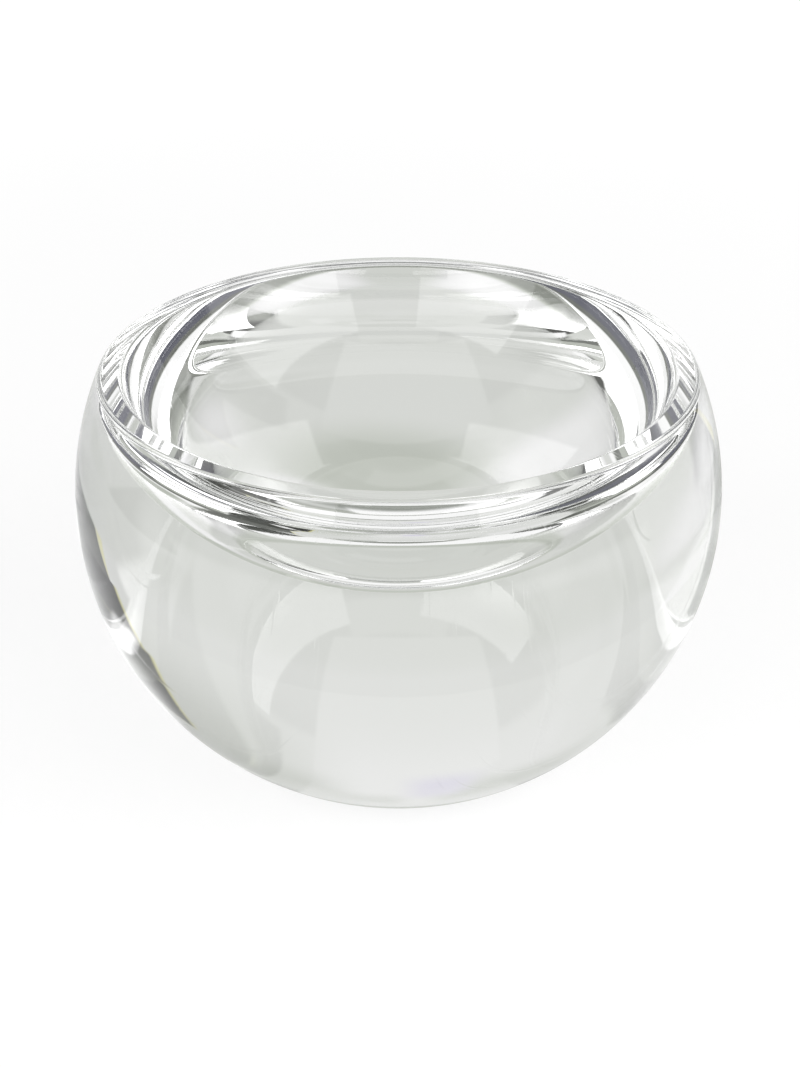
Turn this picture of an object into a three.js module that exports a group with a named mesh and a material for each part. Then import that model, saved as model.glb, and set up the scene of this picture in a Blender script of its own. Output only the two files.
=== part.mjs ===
// A heavy clear crystal bowl: a polished ball, cut flat below to stand on and flat above for the rim,
// with a shallow round hollow ground into the top. Millimetres, +Z up, origin at the middle of the foot.
import * as THREE from 'three';

// Driving dimensions
const ballRadius = 75;        // the widest radius of the bowl
const lowerDrop = 74.3;       // the depth of the whole lower half ball, a touch less than its radius
const footRadius = 40.5;      // the flat that the bowl stands on, out to its sharp edge
const rimRise = 31.3;         // the rim's flat above the widest level
const rimWidth = 5.5;         // the rim's flat ring, between its sharp edges
const hollowDepth = 43;       // from the rim's flat down to the bottom of the hollow
const rimSoftness = 1;        // how far the rim's two edges are polished back from their sharp corners
const footSoftness = 0.8;     // the same at the edge of the foot

// Fineness of the surfaces
const turnSegments = 80;
const lowerSteps = 16;
const upperSteps = 8;
const hollowSteps = 16;
const cornerSteps = 3;

// Looks of clear polished crystal
const crystalColour = 0xdfe4dc;
const crystalRoughness = 0.04;
const crystalMetalness = 0;

// Heights and radii that follow from the driving dimensions
const footAngle = Math.acos(footRadius / ballRadius);
const widestHeight = lowerDrop * Math.sin(footAngle);
const rimHeight = widestHeight + rimRise;
const rimAngle = Math.asin(rimRise / ballRadius);
const rimOuterRadius = ballRadius * Math.cos(rimAngle);
const mouthRadius = rimOuterRadius - rimWidth;
const hollowRadius = (mouthRadius ** 2 + hollowDepth ** 2) / (2 * hollowDepth);
const hollowCentre = rimHeight - hollowDepth + hollowRadius;
const mouthAngle = Math.acos(mouthRadius / hollowRadius) * Math.sign(rimHeight - hollowCentre);

// A point of the outside: a round ball above its widest level, a slightly drawn-in one below it.
function outsidePoint(angle) {
  const drop = angle < 0 ? lowerDrop : ballRadius;
  return new THREE.Vector2(ballRadius * Math.cos(angle), widestHeight + drop * Math.sin(angle));
}

// A point of the hollow, which is part of a sphere whose centre lies above the rim.
function hollowPoint(angle) {
  const radius = Math.max(hollowRadius * Math.cos(angle), 0);
  return new THREE.Vector2(radius, hollowCentre + hollowRadius * Math.sin(angle));
}

// The points of a curve at equal steps of its angle, both ends included.
function along(point, from, to, steps) {
  return Array.from({ length: steps + 1 }, (_, i) => point(from + ((to - from) * i) / steps));
}

// The points between the two ends of a polished edge, bent towards the sharp corner that it replaces.
function polishedEdge(start, corner, end) {
  return new THREE.QuadraticBezierCurve(start, corner, end).getPoints(cornerSteps).slice(1, -1);
}

// Half of the bowl's section, from the middle of the foot round to the bottom of the hollow.
function bowlProfile() {
  const lowerStart = -footAngle + footSoftness / ballRadius;
  const upperEnd = rimAngle - rimSoftness / ballRadius;
  const hollowStart = mouthAngle - rimSoftness / hollowRadius;
  const footEnd = new THREE.Vector2(footRadius - footSoftness, 0);
  const rimStart = new THREE.Vector2(rimOuterRadius - rimSoftness, rimHeight);
  const rimEnd = new THREE.Vector2(mouthRadius + rimSoftness, rimHeight);
  return [
    new THREE.Vector2(0, 0),
    footEnd,
    ...polishedEdge(footEnd, new THREE.Vector2(footRadius, 0), outsidePoint(lowerStart)),
    ...along(outsidePoint, lowerStart, 0, lowerSteps),
    ...along(outsidePoint, 0, upperEnd, upperSteps).slice(1),
    ...polishedEdge(outsidePoint(upperEnd), new THREE.Vector2(rimOuterRadius, rimHeight), rimStart),
    rimStart,
    rimEnd,
    ...polishedEdge(rimEnd, new THREE.Vector2(mouthRadius, rimHeight), hollowPoint(hollowStart)),
    ...along(hollowPoint, hollowStart, -Math.PI / 2, hollowSteps),
  ];
}

// The whole bowl: its section turned once round the upright axis.
function crystalBowl() {
  const geometry = new THREE.LatheGeometry(bowlProfile(), turnSegments);
  geometry.rotateX(Math.PI / 2);
  const crystal = new THREE.MeshStandardMaterial({
    color: crystalColour,
    roughness: crystalRoughness,
    metalness: crystalMetalness,
  });
  const bowl = new THREE.Mesh(geometry, crystal);
  bowl.name = 'crystal_bowl';
  return bowl;
}

const object = new THREE.Group();
object.add(crystalBowl());

export default object;
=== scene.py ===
"""A thick bowl of clear polished crystal: a cut ball with a shallow round hollow, on a pale studio floor."""

import math

import bpy
import numpy as np
from bpy.props import FloatProperty, FloatVectorProperty, IntProperty, PointerProperty
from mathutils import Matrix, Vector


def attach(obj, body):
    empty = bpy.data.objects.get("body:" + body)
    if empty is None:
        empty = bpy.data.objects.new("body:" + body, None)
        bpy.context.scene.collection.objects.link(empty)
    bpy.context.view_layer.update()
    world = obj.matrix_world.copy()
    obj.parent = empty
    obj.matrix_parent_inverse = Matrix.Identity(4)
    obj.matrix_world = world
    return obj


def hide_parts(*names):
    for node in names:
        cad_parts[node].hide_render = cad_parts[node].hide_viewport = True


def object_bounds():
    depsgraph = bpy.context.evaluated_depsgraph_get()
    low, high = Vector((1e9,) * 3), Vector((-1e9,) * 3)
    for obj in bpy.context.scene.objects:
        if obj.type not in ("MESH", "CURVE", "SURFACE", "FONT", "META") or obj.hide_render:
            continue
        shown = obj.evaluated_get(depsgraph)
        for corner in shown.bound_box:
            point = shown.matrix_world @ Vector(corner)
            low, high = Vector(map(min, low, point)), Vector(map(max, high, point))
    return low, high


bl_info = {
    "name": "Crystal Bowl",
    "version": (1, 0, 0),
    "blender": (4, 5, 0),
    "location": "3D View > Sidebar > Crystal Bowl",
    "description": "Builds a polished crystal bowl and the pale studio round it",
    "category": "Add Mesh",
}

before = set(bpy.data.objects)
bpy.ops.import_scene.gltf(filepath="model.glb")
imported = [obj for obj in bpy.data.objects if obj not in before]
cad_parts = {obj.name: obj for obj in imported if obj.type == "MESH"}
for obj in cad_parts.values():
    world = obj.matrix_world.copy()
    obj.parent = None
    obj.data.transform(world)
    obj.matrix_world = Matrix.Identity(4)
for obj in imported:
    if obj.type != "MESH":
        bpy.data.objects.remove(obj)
CAD_LOW, CAD_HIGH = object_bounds()

NODE = "crystal_bowl"
BODY = "root"

# Points along each part of the half section, and steps round each polished edge
FOOT_POINTS = 11
LOWER_POINTS = 90
UPPER_POINTS = 30
HOLLOW_POINTS = 84
EDGE_STEPS = 8

# The picture's frame in pixels, with the ball's radius and middle in it
PHOTO_WIDTH = 800
PHOTO_HEIGHT = 1067
BALL_PIXELS = 323.5
BALL_CENTRE = (398.5, 487.0)

# The camera's sensor in millimetres, and the nearest that it sees in metres
SENSOR = 36.0
NEAREST_VIEW = 0.01

# How often light may turn inside the crystal
BOUNCES = 32

# The floor's half side and its gap below the foot, in metres
FLOOR_REACH = 30.0
AIR_GAP = 0.0002

WHITE = (1.0, 1.0, 1.0, 1.0)


class BowlSizes(bpy.types.PropertyGroup):
    """The lengths that fix the bowl's shape."""

    ball_radius: FloatProperty(
        name="Ball radius", description="Radius of the bowl at its widest level",
        default=(CAD_HIGH.x - CAD_LOW.x) / 2, unit="LENGTH", precision=4)
    lower_drop: FloatProperty(
        name="Lower drop", description="Height of the lower half of the ball before the foot is cut",
        default=0.0743, unit="LENGTH", precision=4)
    foot_radius: FloatProperty(
        name="Foot radius", description="Radius of the flat that the bowl stands on",
        default=0.0405, unit="LENGTH", precision=4)
    rim_rise: FloatProperty(
        name="Rim rise", description="Height of the flat rim above the widest level",
        default=0.0313, unit="LENGTH", precision=4)
    rim_width: FloatProperty(
        name="Rim width", description="Width of the flat polished rim",
        default=0.0055, unit="LENGTH", precision=4)
    hollow_depth: FloatProperty(
        name="Hollow depth", description="Depth of the round hollow below the rim",
        default=0.043, unit="LENGTH", precision=4)
    rim_softness: FloatProperty(
        name="Rim softness", description="Reach of the polished edges of the rim",
        default=0.001, unit="LENGTH", precision=4)
    foot_softness: FloatProperty(
        name="Foot softness", description="Reach of the polished edge of the foot",
        default=0.0008, unit="LENGTH", precision=4)
    turn_steps: IntProperty(
        name="Turn steps", description="Number of steps round the bowl", default=360, min=24)


class CrystalFinish(bpy.types.PropertyGroup):
    """The look of the polished crystal."""

    clear: FloatVectorProperty(
        name="Clear crystal", description="Colour of the crystal where it is cleanest",
        subtype="COLOR", size=3, default=(0.999, 1.0, 0.998))
    veil: FloatVectorProperty(
        name="Veiled crystal", description="Colour of the crystal in its faint veils",
        subtype="COLOR", size=3, default=(0.988, 0.993, 0.984))
    index: FloatProperty(
        name="Refraction", description="Index of refraction of the crystal", default=1.55)
    polish: FloatProperty(
        name="Polish", description="Roughness of the polished faces", default=0.002, subtype="FACTOR")
    scratch: FloatProperty(
        name="Scratch", description="Roughness of the hairline marks of use", default=0.06, subtype="FACTOR")
    wave: FloatProperty(
        name="Wave", description="Height of the last waves that the polishing leaves",
        default=0.00002, unit="LENGTH", precision=6)


class StudioSettings(bpy.types.PropertyGroup):
    """The pale studio and the camera."""

    elevation: FloatProperty(
        name="Camera elevation", description="Angle of the camera above the floor",
        default=math.radians(27.0), subtype="ANGLE")
    distance: FloatProperty(
        name="Camera distance", description="Distance of the camera, in ball radii", default=7.0)
    tent: FloatProperty(name="Tent", description="Tone of the pale cloth round the bowl", default=0.75)
    shade: FloatVectorProperty(
        name="Shade", description="Tint of the pale cloth and floor where they are in shade",
        subtype="COLOR", size=3, default=(0.955, 1.0, 0.905))


class Wire:
    """A shader socket that adds Math nodes as it is used in an expression."""

    def __init__(self, tree, socket):
        self.tree = tree
        self.socket = socket

    def add(self, kind, settings=None, sockets=None, out=0):
        """Adds one node: its settings first, then the values or wires of its sockets; gives one output."""
        node = self.tree.nodes.new(kind)
        for key, value in (settings or {}).items():
            setattr(node, key, value)
        for key, value in (sockets or {}).items():
            if isinstance(value, Wire):
                self.tree.links.new(value.socket, node.inputs[key])
            else:
                node.inputs[key].default_value = value
        return Wire(self.tree, node.outputs[out]) if node.outputs else node

    def math(self, operation, *values):
        """A Math node of these values."""
        return self.add("ShaderNodeMath", {"operation": operation}, dict(enumerate(values)))

    def vector(self, operation, other=(0.0, 0.0, 0.0), out="Vector"):
        """A Vector Math node of this vector and another."""
        return self.add("ShaderNodeVectorMath", {"operation": operation}, {0: self, 1: other}, out=out)

    def __add__(self, other):
        return self.math("ADD", self, other)

    def __radd__(self, other):
        return self.math("ADD", other, self)

    def __sub__(self, other):
        return self.math("SUBTRACT", self, other)

    def __rsub__(self, other):
        return self.math("SUBTRACT", other, self)

    def __mul__(self, other):
        return self.math("MULTIPLY", self, other)

    def __rmul__(self, other):
        return self.math("MULTIPLY", other, self)

    def __truediv__(self, other):
        return self.math("DIVIDE", self, other)

    def __rtruediv__(self, other):
        return self.math("DIVIDE", other, self)

    def __abs__(self):
        return self.math("ABSOLUTE", self)

    def __or__(self, other):
        return self.math("MAXIMUM", self, other)

    def __ror__(self, other):
        return self.math("MAXIMUM", other, self)

    def step(self, low, high):
        """0 below the low value, 1 above the high one, smooth between them."""
        return self.add(
            "ShaderNodeMapRange", {"interpolation_type": "SMOOTHSTEP"},
            {0: self, 1: low, 2: high, 3: 0.0, 4: 1.0})

    def dot(self, vector):
        """The length of this vector along another."""
        return self.vector("DOT_PRODUCT", vector, "Value")

    def length(self):
        """The length of this vector."""
        return self.vector("LENGTH", out="Value")

    def tint(self, first, second):
        """A colour that goes from the first to the second as this value goes from 0 to 1."""
        return self.add("ShaderNodeMix", {"data_type": "RGBA"}, {0: self, 6: first, 7: second}, out=2)


def rgba(colour):
    """A colour with full alpha."""
    return (*colour, 1.0)


def grey(level):
    """A plain tone as a colour with full alpha."""
    return (level, level, level, 1.0)


def start(tree):
    """An empty node tree and a wire on it to add nodes with."""
    tree.nodes.clear()
    return Wire(tree, None)


def light_path(w):
    """Two wires: 1 for rays from the camera, and 1 for rays that the crystal mirrors or lets through."""
    rays = w.add("ShaderNodeLightPath").socket.node.outputs
    seen = Wire(w.tree, rays["Is Camera Ray"])
    glass = Wire(w.tree, rays["Is Glossy Ray"]) | Wire(w.tree, rays["Is Transmission Ray"])
    return seen, glass


def corner(before, point, after, reach):
    """A polished edge: a quadratic Bezier curve that leaves each side at the reach from the corner point."""
    start_point = point + (before - point) * (reach / np.linalg.norm(before - point))
    end_point = point + (after - point) * (reach / np.linalg.norm(after - point))
    t = np.linspace(0.0, 1.0, EDGE_STEPS + 1)[:, None]
    return (1 - t) ** 2 * start_point + 2 * t * (1 - t) * point + t ** 2 * end_point


def widest_level(s):
    """The height of the bowl's widest level: how far the lower ellipse goes below it before the foot cuts it."""
    return s.lower_drop * math.sin(math.acos(s.foot_radius / s.ball_radius))


def bowl_profile(s):
    """The half section as radius and height, from the middle of the foot up to the middle of the hollow.

    The foot is flat. The lower side is an ellipse, r = R cos a, z = w + D sin a, from the foot's edge to the widest
    level w. The upper side is a circle, r = R cos a, z = w + R sin a, up to the flat rim. The hollow is a circle
    through the rim's inner edge and the hollow's deepest point.
    """
    foot_angle = math.acos(s.foot_radius / s.ball_radius)
    widest = widest_level(s)
    rim_angle = math.asin(s.rim_rise / s.ball_radius)
    rim_height = widest + s.rim_rise
    rim_outer = s.ball_radius * math.cos(rim_angle)
    mouth = rim_outer - s.rim_width
    hollow_radius = (mouth ** 2 + s.hollow_depth ** 2) / (2 * s.hollow_depth)
    hollow_centre = rim_height - s.hollow_depth + hollow_radius
    mouth_angle = math.asin(mouth / hollow_radius)

    foot_trim = s.foot_softness / s.lower_drop
    rim_trim = s.rim_softness / s.ball_radius
    hollow_trim = s.rim_softness / hollow_radius

    a = np.linspace(-foot_angle + foot_trim, 0.0, LOWER_POINTS)
    lower = np.stack([s.ball_radius * np.cos(a), widest + s.lower_drop * np.sin(a)], 1)
    a = np.linspace(0.0, rim_angle - rim_trim, UPPER_POINTS)[1:]
    upper = np.stack([s.ball_radius * np.cos(a), widest + s.ball_radius * np.sin(a)], 1)
    a = np.linspace(mouth_angle - hollow_trim, 0.0, HOLLOW_POINTS)
    hollow = np.stack([hollow_radius * np.sin(a), hollow_centre - hollow_radius * np.cos(a)], 1)
    flat = np.linspace(0.0, s.foot_radius - s.foot_softness, FOOT_POINTS + 1)[:-1]
    foot = np.stack([flat, np.zeros(FOOT_POINTS)], 1)

    foot_edge = np.array([s.foot_radius, 0.0])
    outer_edge = np.array([rim_outer, rim_height])
    inner_edge = np.array([mouth, rim_height])
    middle = (outer_edge + inner_edge) / 2
    foot_round = corner(foot[0], foot_edge, lower[0], s.foot_softness)
    outer_round = corner(upper[-1], outer_edge, middle, s.rim_softness)
    inner_round = corner(middle, inner_edge, hollow[0], s.rim_softness)
    return np.concatenate([foot, foot_round, lower[1:], upper[:-1], outer_round, inner_round, hollow[1:]])


def turned_mesh(name, profile, steps):
    """A solid of revolution: each profile point (r, z) goes to (r cos t, r sin t, z) for every angle t.

    The first and the last profile point are the poles, each joined to its nearest ring by a fan of triangles.
    """
    angle = np.arange(steps) * (2 * np.pi / steps)
    ring = profile[1:-1]
    x = ring[:, 0, None] * np.cos(angle)
    y = ring[:, 0, None] * np.sin(angle)
    z = np.broadcast_to(ring[:, 1, None], x.shape)
    points = np.concatenate([
        np.stack([x, y, z], 2).reshape(-1, 3),
        [[0.0, 0.0, profile[0, 1]], [0.0, 0.0, profile[-1, 1]]],
    ])
    rows = len(ring)
    index = np.arange(rows * steps).reshape(rows, steps)
    beside = np.roll(index, -1, 1)
    quads = np.stack([index[:-1], beside[:-1], beside[1:], index[1:]], 2).reshape(-1, 4)
    low_pole = np.full(steps, rows * steps)
    high_pole = low_pole + 1
    low_fan = np.stack([beside[0], index[0], low_pole], 1)
    high_fan = np.stack([index[-1], beside[-1], high_pole], 1)
    mesh = bpy.data.meshes.new(name)
    mesh.from_pydata(points.tolist(), [], quads.tolist() + low_fan.tolist() + high_fan.tolist())
    mesh.polygons.foreach_set("use_smooth", np.ones(len(mesh.polygons), bool))
    mesh.update()
    return mesh


# The veil in the crystal: scale, detail and roughness of its noise, and where it sets in
VEIL_NOISE = (18.0, 3.0, 0.55)
VEIL_EDGE = (0.35, 0.75)
# Hairline marks: how their noise is drawn out, which ways they run, where they set in and how deep they are in waves
HAIR_STRETCH = (1500.0, 45.0, 45.0)
HAIR_TURNS = ((0.5, 0.2, 0.7), (-0.4, 0.3, 2.2))
HAIR_EDGE = (0.72, 0.78)
HAIR_DEPTH = 0.1
# Where the crystal is worn enough to have marks: scale and detail of its noise, and where it sets in
WORN_NOISE = (24.0, 2.0)
WORN_EDGE = (0.5, 0.62)
# Scale of the waves that the polishing leaves
WAVE_NOISE = (40.0,)


def noise(place, scale, detail=0.0, roughness=0.5):
    """A smooth noise over the surface: its scale, how many finer layers it has and how strong they are."""
    return place.add(
        "ShaderNodeTexNoise", None, {"Vector": place, "Scale": scale, "Detail": detail, "Roughness": roughness})


def hairlines(place, turn):
    """1 on thin straight marks that run one way over the surface, 0 between them: a noise drawn out long."""
    drawn = place.add("ShaderNodeMapping", None, {"Vector": place, "Rotation": turn, "Scale": HAIR_STRETCH})
    return noise(drawn, 1.0).step(*HAIR_EDGE)


def crystal_material(finish):
    """Clear crystal: a faint veil of tone in the mass, hairline marks of use and the last waviness of the polish."""
    material = bpy.data.materials.new("polished_crystal")
    material.use_nodes = True
    w = start(material.node_tree)
    place = w.add("ShaderNodeTexCoord", out="Object")
    colour = noise(place, *VEIL_NOISE).step(*VEIL_EDGE).tint(rgba(finish.clear), rgba(finish.veil))
    marks = hairlines(place, HAIR_TURNS[0]) | hairlines(place, HAIR_TURNS[1])
    marks = marks * noise(place, *WORN_NOISE).step(*WORN_EDGE)
    height = noise(place, *WAVE_NOISE) - HAIR_DEPTH * marks
    shader = w.add("ShaderNodeBsdfPrincipled", None, {
        "Base Color": colour,
        "Roughness": finish.polish + (finish.scratch - finish.polish) * marks,
        "IOR": finish.index,
        "Transmission Weight": 1.0,
        "Normal": w.add("ShaderNodeBump", None, {"Strength": 1.0, "Distance": finish.wave, "Height": height}),
    })
    w.add("ShaderNodeOutputMaterial", None, {"Surface": shader})
    return material


# The warm fringe of the gap, the dim room straight behind the camera, and a fold of the backdrop
OLIVE = (0.62, 0.6, 0.3)
NAVY = (0.12, 0.123, 0.155)
VIOLET = (0.7, 0.68, 0.785)

# Windows of the studio: azimuth, elevation, half width, half height and soft edge in degrees, lean, tone or colour
WINDOWS = (
    # the dim room on the camera's side: its walls, its middle, a lit shelf above, and paler walls low down
    (180, 45, 88, 60, 4, 0, 0.05),
    (180, 14, 26, 18, 7, 0, NAVY),
    (180, 46, 24, 6.5, 1.5, 0, 0.65),
    (114, 4, 24, 8, 5, 0, 0.48),
    (-120, 4, 28, 9, 5, 0, 0.48),
    (-107, 21, 13, 13, 6, 0, 0.3),
    # the backdrop, darker to the right, and its folds
    (-8, 34, 26, 22, 14, 0, 0.81),
    (40, 30, 22, 22, 14, 0, 0.65),
    (26, 38, 12, 8, 8, 0, 0.52),
    (-25, 38, 17, 6.5, 6, 0, 0.58),
    (11, 42, 12, 4.5, 4, 0, 0.63),
    (-8, 32, 5.5, 6.5, 4, 0, VIOLET),
    # the ceiling cloth: its dim top, a dim end, a dim strip and the lit strip above it, a dim right end
    (0, 79, 60, 11, 3, 0, 0.25),
    (-48, 60, 14, 7, 3, 0, 0.4),
    (5, 55, 27, 3.6, 1.5, 0, 0.34),
    (-12, 62, 29, 4, 1.5, 0, 1.1),
    (38, 65, 20, 5, 3, 0, 0.42),
    # the dark gap on the right: its fringe, its two halves, a lit band at its edge and the dark wall beyond it
    (64.8, 19.5, 22, 10, 0.8, 0, OLIVE),
    (68.8, -2, 18, 11.5, 0.8, -0.6, OLIVE),
    (66, 19.5, 22, 10, 0.8, 0, 0.02),
    (70, -2, 18, 11.5, 0.8, -0.6, 0.02),
    (44, 13, 5, 5, 1.5, 1.0, 0.85),
    (76, 21, 11, 31, 1.5, 0, 0.05),
    # the lit cloth on the left
    (-60, 48, 8, 8, 3, 0, 1.05),
    # the right and the left softbox, each with its upper end and its hot middle
    (121, 28.6, 31, 18.2, 0.8, 0, 2.0),
    (153, 39, 4, 8, 0.8, 0, 2.0),
    (119, 24, 14, 7, 7, 0, 3.4),
    (-138, 29.3, 20, 16.8, 0.8, 0, 2.0),
    (-162, 35.8, 8, 10.3, 0.8, 0, 2.0),
    (-138, 27, 12, 7, 7, 0, 3.4),
)

# The white panel overhead, for one unit of height: to the right, to the back, half width, half depth, soft edge
OVERHEAD = (-0.065, -0.29, 0.535, 0.44, 0.02)
# A flat panel shows only this far above the horizon, as the sine of the angle
HORIZON = (0.0, 0.1)

# Plain light on all that isn't seen by the camera or through the crystal
SOFT_LIGHT = 0.3
# Tones are tinted by the shade up to the first of these and plain from the second
TINTED, PLAIN = 0.5, 0.85


def window(direction, azimuth, elevation, width, height, soft, lean):
    """1 inside a window of the studio, 0 outside it: its middle, its half width, half height and soft edge in degrees.

    The azimuth goes from straight behind the bowl to the right. The lean is how far the window's sides go to the
    right for each degree of height above the horizon.
    """
    a = math.radians(azimuth)
    ahead = direction.dot((math.sin(a), math.cos(a), 0.0))
    aside = direction.dot((math.cos(a), -math.sin(a), 0.0))
    up = direction.dot((0.0, 0.0, 1.0))
    height_angle = up.math("ARCSINE", up)
    turn = abs(aside.math("ARCTAN2", aside, ahead) - lean * height_angle)
    rise = abs(height_angle - math.radians(elevation))
    edge = math.radians(soft)
    across = 1 - turn.step(math.radians(width) - edge, math.radians(width) + edge)
    along = 1 - rise.step(math.radians(height) - edge, math.radians(height) + edge)
    return across * along


def overhead(direction, right, back, width, depth, soft):
    """1 inside a flat straight-sided panel overhead, 0 outside it; its lengths are for a panel one unit up."""
    up = direction.dot((0.0, 0.0, 1.0))
    across = abs(direction.dot((1.0, 0.0, 0.0)) / up - right)
    along = abs(direction.dot((0.0, 1.0, 0.0)) / up - back)
    inside = (1 - across.step(width - soft, width + soft)) * (1 - along.step(depth - soft, depth + soft))
    return inside * up.step(*HORIZON)


def tinted(shade, level):
    """A tone as a colour: it has the tint of the shade where it is dark and is plain where it is light."""
    fade = min(max((PLAIN - level) / (PLAIN - TINTED), 0.0), 1.0)
    return tuple(level * (1 + (c - 1) * fade) for c in shade)


def studio_world(studio):
    """White to the camera; to the crystal the pale tent with its lamps and gaps; plain soft light to all else."""
    world = bpy.data.worlds.new("pale_tent")
    world.use_nodes = True
    bpy.context.scene.world = world
    w = start(world.node_tree)
    seen, glass = light_path(w)
    direction = w.add("ShaderNodeTexCoord", out="Generated")
    tone = rgba(tinted(studio.shade, studio.tent))
    for *place, level in WINDOWS:
        shade = level if isinstance(level, tuple) else tinted(studio.shade, level)
        tone = window(direction, *place).tint(tone, rgba(shade))
    tone = overhead(direction, *OVERHEAD).tint(tone, WHITE)
    colour = seen.tint(glass.tint(grey(SOFT_LIGHT), tone), WHITE)
    shader = w.add("ShaderNodeBackground", None, {"Color": colour, "Strength": 1.0})
    w.add("ShaderNodeOutputWorld", None, {"Surface": shader})


# Lengths on the floor are in ball radii from the bowl's axis; tones are those that the crystal sees

# The open floor: tone, how much lighter it gets further away, and from where to where; painted shade: the floor is
# darker near the bowl and behind it, lighter further away
BEFORE_TONE, BEFORE_GAIN, BEFORE_REACH = 0.75, 0.27, (0.8, 1.6)
BEHIND_TONE, BEHIND_GAIN, BEHIND_REACH = 0.695, 0.03, (2.0, 4.5)
FRONT_TO_BACK = (-0.9, 0.5)

# Soft oval pools of light and shade on the open floor: to the right, to the back, reach across, reach deep, tone
FLOOR_SPOTS = (
    # behind on the left: a dim pool with a lit one in it, and a dim one far off
    (-1.6, 1.75, 1.1, 1.0, 0.83),
    (-1.15, 1.25, 0.55, 0.5, 1.25),
    (-4.6, 2.9, 1.4, 1.2, 0.58),
    # dim pools before the bowl, right and left
    (2.6, -2.2, 2.0, 2.0, 0.5),
    (-3.5, -1.1, 1.2, 0.8, 0.7),
    # the shade close behind the bowl, with a lighter pool at each end
    (-0.08, 1.02, 0.6, 0.45, 0.56),
    (-0.5, 0.74, 0.3, 0.22, 0.84),
    (0.72, 0.95, 0.35, 0.35, 0.84),
    # light that the bowl gathers on its left and right
    (-1.8, 0.6, 1.0, 0.8, 0.95),
    (-0.95, 0.15, 0.45, 0.5, 1.3),
    (0.95, 0.2, 0.45, 0.5, 1.0),
)

# Under the foot: its tone, and a painted pool of gathered light with a dimmer middle and a painted contact shadow, a
# dark crescent at the back
FOOT_TONE = 0.67
FOOT_SPOTS = (
    (0, 0.33, 0.34, 0.16, 0.88),
    (0, 0.3, 0.09, 0.22, 0.66),
    (0, 0.47, 0.45, 0.08, 0.3),
)
# How far out from its middle a pool has its full tone, and where it ends
SPOT_EDGE = (0.4, 1.0)

# The foot's edge: how much it blurs, and depth and reach of the painted contact shadow, a dark ring along it
FOOT_BLUR = 0.01
CONTACT_SHADOW_DEPTH, CONTACT_SHADOW_REACH = 0.2, (0.012, 0.04)

# Darker floor at the margins: depth, where far off begins, its sides and how far each goes to the front and the back
DARK_DEPTH = 0.85
FAR_OFF = (5.5, 8.0)
RIGHT_SIDE, RIGHT_FRONT = (2.2, 2.6), (-0.9, -0.3)
LEFT_SIDE, LEFT_REACH = (4.6, 5.0), (1.4, 1.8)
FRONT_SIDE = (0.0, 1.0)
# The darker floor on the right begins at a line that goes back as it goes right: slope, start, softness and its warm
# fringe, a painted colour fringe in place of the crystal's dispersion
EDGE_SLOPE, EDGE_START, EDGE_SOFT = 0.74, 0.6, (-0.06, 0.06)
FRINGE, FRINGE_START = (1.0, 0.97, 0.6, 1.0), (-0.3, -0.2)
# The lighter far corner behind on the left: gain, slope and softness of its edge, and where it begins
CORNER_GAIN, CORNER_SLOPE, CORNER_SOFT, CORNER_START = 0.08, 0.9, (-0.4, 0.6), (1.5, 3.0)

# The floor that the camera sees: its own colour, and a glow that gets stronger away from the bowl
MATT = 0.24
GLOW, GLOW_GAIN, GLOW_REACH = 0.79, 0.2, (3.0, 14.0)


def spots(place, tone, rows):
    """A floor tone with soft oval pools: a pool's tone in its middle, the floor's tone outside it."""
    for x, y, wide, deep, level in rows:
        oval = place.vector("SUBTRACT", (x, y, 0.0)).vector("MULTIPLY", (1 / wide, 1 / deep, 0.0))
        tone = level + (tone - level) * oval.length().step(*SPOT_EDGE)
    return tone


def dark_line(right, back):
    """How far a place on the floor is past the line where the darker floor on the right begins: slope times right, plus
    start, less back.
    """
    return EDGE_SLOPE * right + EDGE_START - back


def floor_tone(place, away, right, back, foot):
    """The floor's tone to the crystal: the open floor with painted shade and painted pools of light and shade, the
    foot's patch with painted light in a painted contact shadow as a dark ring, dark margins.
    """
    # painted shade near the bowl and behind it, then the painted pools of light and shade
    behind = BEHIND_TONE + BEHIND_GAIN * away.step(*BEHIND_REACH)
    before = BEFORE_TONE + BEFORE_GAIN * away.step(*BEFORE_REACH)
    spread = spots(place, before + (behind - before) * back.step(*FRONT_TO_BACK), FLOOR_SPOTS)
    # painted light under the foot, with a painted contact shadow as a dark crescent at the back
    under = spots(place, FOOT_TONE, FOOT_SPOTS)
    tone = under + (spread - under) * away.step(foot * (1 - FOOT_BLUR), foot * (1 + FOOT_BLUR))
    # painted contact shadow: a dark ring along the foot's edge
    tone = tone * (1 - CONTACT_SHADOW_DEPTH + CONTACT_SHADOW_DEPTH * abs(away - foot).step(*CONTACT_SHADOW_REACH))
    far_off = away.step(*FAR_OFF)
    past_right = right.step(*RIGHT_SIDE) * dark_line(right, back).step(*EDGE_SOFT)
    past_right = past_right * (back.step(*RIGHT_FRONT) | far_off)
    past_left = (0 - right).step(*LEFT_SIDE) * (1 - abs(back).step(*LEFT_REACH))
    past_front = (0 - back).step(*FRONT_SIDE) * far_off
    tone = tone * (1 - DARK_DEPTH * (past_right | past_left | past_front))
    far_corner = (0 - right - CORNER_SLOPE * back).step(*CORNER_SOFT) * back.step(*CORNER_START)
    return tone + CORNER_GAIN * far_corner


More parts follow.
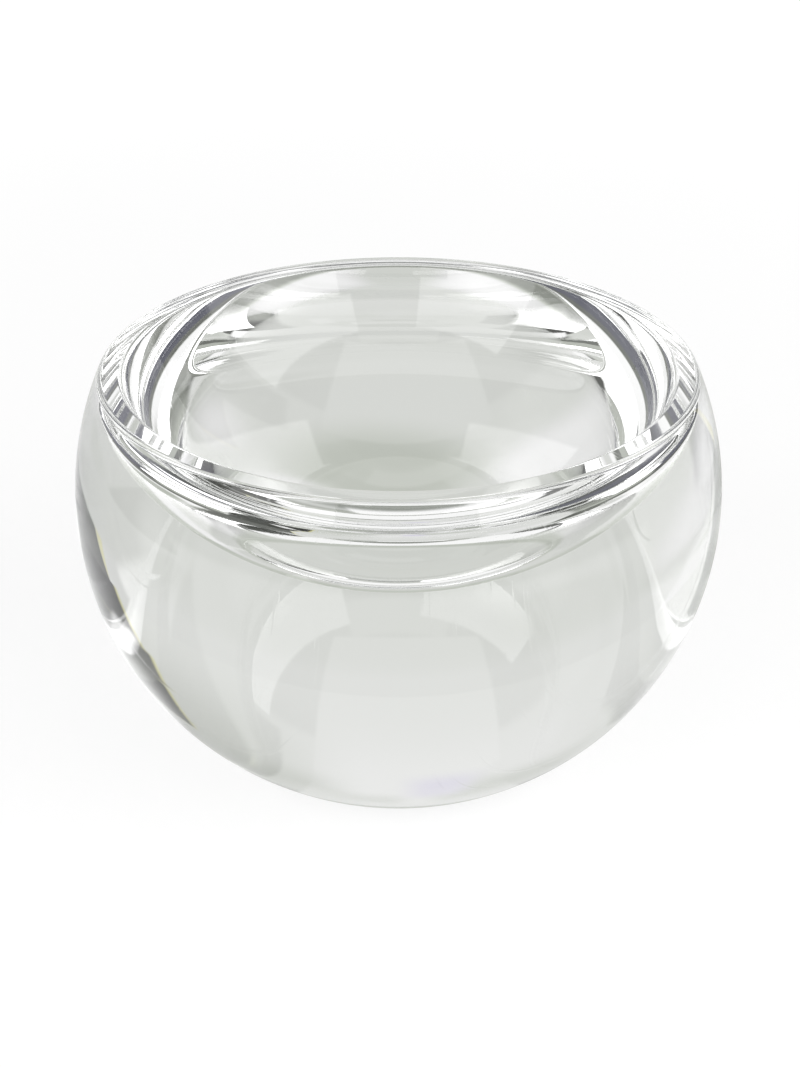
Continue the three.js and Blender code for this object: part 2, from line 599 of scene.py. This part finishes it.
def floor_material(studio, ball_radius, foot_radius):
    """A pale matt floor: white with a soft shadow to the camera; to the crystal a glow of painted light and shade."""
    material = bpy.data.materials.new("pale_floor")
    material.use_nodes = True
    w = start(material.node_tree)
    seen, glass = light_path(w)
    unit = 1 / ball_radius
    place = w.add("ShaderNodeTexCoord", out="Object").vector("MULTIPLY", (unit, unit, unit))
    away = place.length()
    right = place.dot((1.0, 0.0, 0.0))
    back = place.dot((0.0, 1.0, 0.0))
    tone = floor_tone(place, away, right, back, foot_radius / ball_radius)
    edge = dark_line(right, back)
    # painted colour fringe along the line, in place of the crystal's dispersion
    fringe = edge.step(*FRINGE_START) * (1 - edge.step(*EDGE_SOFT)) * right.step(*RIGHT_SIDE)
    tint = fringe.tint(tone.step(TINTED, PLAIN).tint(rgba(studio.shade), WHITE), FRINGE)
    colour = w.add("ShaderNodeMix", {"data_type": "RGBA", "blend_type": "MULTIPLY"}, {0: 1.0, 6: tint, 7: tone}, out=2)
    # painted light and shade: the floor glows with these tones to the crystal only
    to_crystal = w.add("ShaderNodeEmission", None, {"Color": colour, "Strength": 1.0})
    matt = w.add("ShaderNodeBsdfDiffuse", None, {"Color": grey(MATT)})
    glow_level = seen * (GLOW + GLOW_GAIN * away.step(*GLOW_REACH))
    glow = w.add("ShaderNodeEmission", None, {"Color": glow_level, "Strength": 1.0})
    to_camera = w.add("ShaderNodeAddShader", None, {0: matt, 1: glow})
    shader = w.add("ShaderNodeMixShader", None, {0: glass, 1: to_camera, 2: to_crystal})
    w.add("ShaderNodeOutputMaterial", None, {"Surface": shader})
    return material


def pale_floor(studio, sizes):
    """The floor: one large level square just below the foot."""
    corners = [(-1, -1), (1, -1), (1, 1), (-1, 1)]
    mesh = bpy.data.meshes.new("floor")
    mesh.from_pydata([(x * FLOOR_REACH, y * FLOOR_REACH, -AIR_GAP) for x, y in corners], [], [(0, 1, 2, 3)])
    mesh.materials.append(floor_material(studio, sizes.ball_radius, sizes.foot_radius))
    floor = bpy.data.objects.new("floor", mesh)
    bpy.context.scene.collection.objects.link(floor)


# The lamps that light the floor: name, azimuth, elevation, half width and half height in degrees, brightness
SOFTBOXES = (
    ("right_softbox", 120, 30, 35, 20.5, 3.2),
    ("left_softbox", -135, 28, 30, 19, 3.2),
)
LAMP_DISTANCE = 1.2


def softbox(name, azimuth, elevation, width, height, level, target):
    """A soft rectangular lamp that faces the bowl; its power follows from its area and its brightness."""
    light = bpy.data.lights.new(name, "AREA")
    light.shape = "RECTANGLE"
    light.size = 2 * LAMP_DISTANCE * math.tan(math.radians(width))
    light.size_y = 2 * LAMP_DISTANCE * math.tan(math.radians(height))
    light.energy = level * math.pi * light.size * light.size_y
    lamp = bpy.data.objects.new(name, light)
    a, e = math.radians(azimuth), math.radians(elevation)
    way = np.array([math.sin(a) * math.cos(e), math.cos(a) * math.cos(e), math.sin(e)])
    lamp.location = target + LAMP_DISTANCE * way
    lamp.rotation_euler = (math.pi / 2 - e, 0.0, math.pi - a)
    lamp.visible_camera = False
    lamp.visible_glossy = False
    lamp.visible_transmission = False
    bpy.context.scene.collection.objects.link(lamp)


def photo_camera(studio, sizes, target):
    """The camera: its lens gives the ball its radius in the picture, and its shift puts the ball's middle in place."""
    data = bpy.data.cameras.new("camera")
    data.sensor_fit = "VERTICAL"
    data.sensor_height = SENSOR
    data.sensor_width = SENSOR
    data.lens = BALL_PIXELS * math.sqrt(studio.distance ** 2 - 1) / PHOTO_HEIGHT * SENSOR
    data.shift_x = (PHOTO_WIDTH / 2 - BALL_CENTRE[0]) / PHOTO_HEIGHT
    data.shift_y = (BALL_CENTRE[1] - PHOTO_HEIGHT / 2) / PHOTO_HEIGHT
    data.clip_start = NEAREST_VIEW
    camera = bpy.data.objects.new("camera", data)
    way = np.array([0.0, -math.cos(studio.elevation), math.sin(studio.elevation)])
    camera.location = target + studio.distance * sizes.ball_radius * way
    camera.rotation_euler = (math.pi / 2 - studio.elevation, 0.0, 0.0)
    bpy.context.scene.collection.objects.link(camera)
    bpy.context.scene.camera = camera


class MESH_OT_crystal_bowl(bpy.types.Operator):
    """Build the polished crystal bowl in place of its plain solid"""

    bl_idname = "mesh.crystal_bowl"
    bl_label = "Crystal Bowl"

    def execute(self, context):
        sizes = context.scene.bowl_sizes
        mesh = turned_mesh("polished_bowl", bowl_profile(sizes), sizes.turn_steps)
        mesh.materials.append(crystal_material(context.scene.crystal_finish))
        bowl = bpy.data.objects.new("polished_bowl", mesh)
        context.scene.collection.objects.link(bowl)
        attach(bowl, BODY)
        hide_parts(NODE)
        return {"FINISHED"}


class SCENE_OT_bowl_studio(bpy.types.Operator):
    """Set up the pale floor, the tent, the two softboxes and the camera"""

    bl_idname = "scene.bowl_studio"
    bl_label = "Bowl Studio"

    def execute(self, context):
        scene = context.scene
        sizes, studio = scene.bowl_sizes, scene.studio_settings
        target = np.array([0.0, 0.0, widest_level(sizes)])
        pale_floor(studio, sizes)
        studio_world(studio)
        for row in SOFTBOXES:
            softbox(*row, target)
        photo_camera(studio, sizes, target)
        scene.view_settings.view_transform = "Standard"
        scene.cycles.max_bounces = BOUNCES
        scene.cycles.glossy_bounces = BOUNCES
        scene.cycles.transmission_bounces = BOUNCES
        return {"FINISHED"}


class VIEW3D_PT_crystal_bowl(bpy.types.Panel):
    """The bowl's sizes, finish and studio"""

    bl_label = "Crystal Bowl"
    bl_space_type = "VIEW_3D"
    bl_region_type = "UI"
    bl_category = "Crystal Bowl"

    def draw(self, context):
        layout = self.layout
        for group in (context.scene.bowl_sizes, context.scene.crystal_finish, context.scene.studio_settings):
            for key in group.__annotations__:
                layout.prop(group, key)
        for operator in (MESH_OT_crystal_bowl, SCENE_OT_bowl_studio):
            layout.operator(operator.bl_idname)


CLASSES = (
    BowlSizes,
    CrystalFinish,
    StudioSettings,
    MESH_OT_crystal_bowl,
    SCENE_OT_bowl_studio,
    VIEW3D_PT_crystal_bowl,
)


def register():
    """Adds the classes and the scene's settings."""
    for cls in CLASSES:
        bpy.utils.register_class(cls)
    bpy.types.Scene.bowl_sizes = PointerProperty(type=BowlSizes)
    bpy.types.Scene.crystal_finish = PointerProperty(type=CrystalFinish)
    bpy.types.Scene.studio_settings = PointerProperty(type=StudioSettings)


def unregister():
    """Removes the settings and the classes."""
    del bpy.types.Scene.studio_settings
    del bpy.types.Scene.crystal_finish
    del bpy.types.Scene.bowl_sizes
    for cls in reversed(CLASSES):
        bpy.utils.unregister_class(cls)


def main():
    """Builds the bowl, then the studio."""
    register()
    bpy.ops.mesh.crystal_bowl()
    bpy.ops.scene.bowl_studio()


if __name__ == "__main__":
    main()
